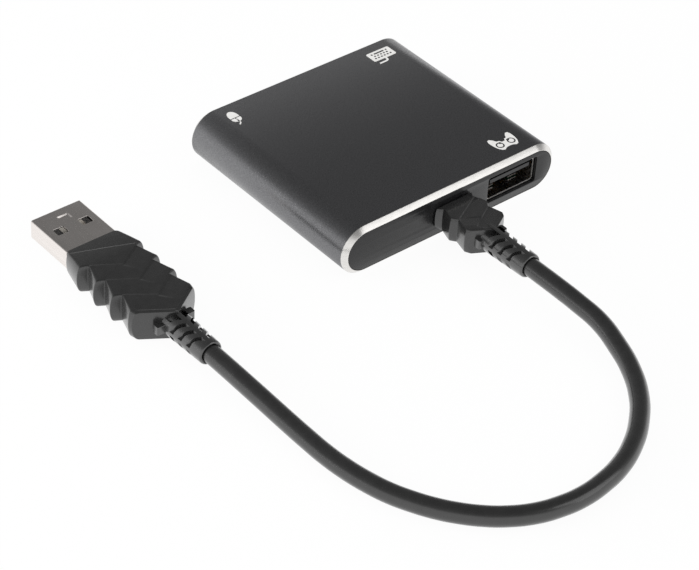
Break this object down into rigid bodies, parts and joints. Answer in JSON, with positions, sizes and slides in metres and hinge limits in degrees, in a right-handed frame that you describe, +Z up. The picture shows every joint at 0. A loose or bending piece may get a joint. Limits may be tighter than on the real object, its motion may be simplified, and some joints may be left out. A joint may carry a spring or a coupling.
{
  "type": "keyboard and mouse adapter",
  "caption": "Flat metal case with full round sides, USB receptacles in its glossy end plates, and a short detachable cable with barbed grips and slotted strain reliefs.",
  "frame": {"origin": "centre of the case's footprint, on the surface it stands on", "axes": "+X along the front end towards the gamepad port, +Y from the front end to the rear end, +Z up"},
  "size_m": [0.1027, 0.1281, 0.0115],
  "materials": {
    "anodised_case": "bead-blasted, dark grey anodising",
    "gloss_black": "polished black",
    "matte_black": "moulded black",
    "grip_grey": "satin moulded dark grey",
    "cord_skin": "smooth flexible skin with a soft sheen",
    "steel": "plated sheet",
    "gilt": "gilded contact",
    "board_green": "solder resist",
    "chip_black": "moulded package",
    "ceramic": "fired ceramic",
    "nickel": "plated can"
  },
  "bodies": {
    "case": {"case_sleeve": "anodised_case", "front_plate": "gloss_black", "rear_plate": "gloss_black", "main_board": "board_green", "controller_chip": "chip_black", "host_chip": "chip_black", "crystal": "nickel", "regulator": "chip_black", "power_inductor": "chip_black", "capacitor_1": "ceramic", "capacitor_2": "ceramic", "capacitor_3": "ceramic", "capacitor_4": "ceramic", "gamepad_port_shell": "steel", "gamepad_port_tongue": "matte_black", "gamepad_port_contact_1": "gilt", "gamepad_port_contact_2": "gilt", "gamepad_port_contact_3": "gilt", "gamepad_port_contact_4": "gilt", "mouse_port_shell": "steel", "mouse_port_tongue": "matte_black", "mouse_port_contact_1": "gilt", "mouse_port_contact_2": "gilt", "mouse_port_contact_3": "gilt", "mouse_port_contact_4": "gilt", "keyboard_port_shell": "steel", "keyboard_port_tongue": "matte_black", "keyboard_port_contact_1": "gilt", "keyboard_port_contact_2": "gilt", "keyboard_port_contact_3": "gilt", "keyboard_port_contact_4": "gilt", "console_port_shell": "steel", "console_port_tongue": "matte_black"},
    "cable": {"console_plug_shell": "steel", "console_plug_insert": "matte_black", "console_plug_overmould": "grip_grey", "console_strain_relief": "grip_grey", "cord": "cord_skin", "usb_strain_relief": "grip_grey", "usb_plug_overmould": "grip_grey", "usb_plug_shell": "steel", "usb_plug_insert": "matte_black", "usb_plug_contact_1": "gilt", "usb_plug_contact_2": "gilt", "usb_plug_contact_3": "gilt", "usb_plug_contact_4": "gilt"}
  },
  "joints": [
    {"name": "cable_unplug", "type": "slide", "parent": "case", "child": "cable", "axis": [0, -1, 0], "range_m": [0, 0.012]}
  ]
}
